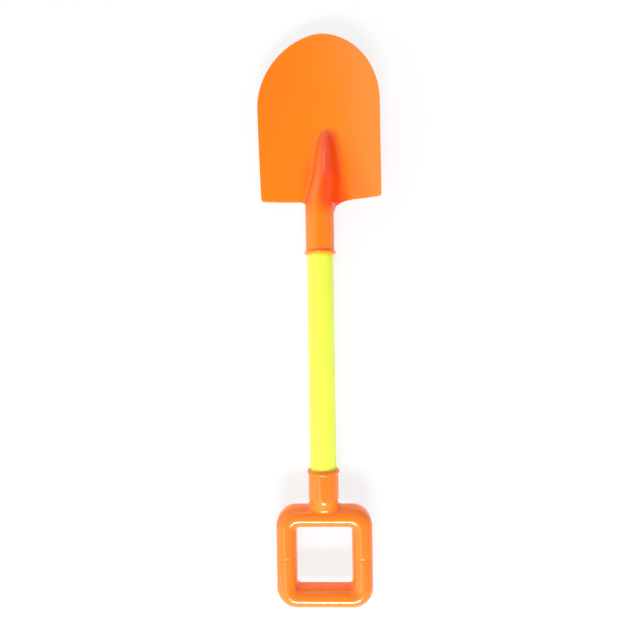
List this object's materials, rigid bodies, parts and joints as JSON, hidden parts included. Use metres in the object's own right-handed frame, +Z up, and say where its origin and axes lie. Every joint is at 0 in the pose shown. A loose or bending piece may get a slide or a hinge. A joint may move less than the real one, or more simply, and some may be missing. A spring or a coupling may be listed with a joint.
{
  "type": "sand shovel",
  "caption": "Toy sand shovel with a dished rounded blade, a straight tube handle and a square open grip, for digging and scooping sand.",
  "frame": {"origin": "centre of the overall bounding box in X and Y, at the lowest point of the shovel lying on its back", "axes": "+Y along the tube towards the blade's tip, +Z up out of the scooping side, +X to the right when the blade points away from the viewer"},
  "size_m": [0.0858, 0.4, 0.0264],
  "materials": {
    "blade_plastic": "moulded gloss",
    "tube_plastic": "extruded gloss",
    "grip_plastic": "moulded gloss"
  },
  "bodies": {
    "root": {"blade": "blade_plastic", "shaft_tube": "tube_plastic", "grip": "grip_plastic"}
  },
  "joints": []
}
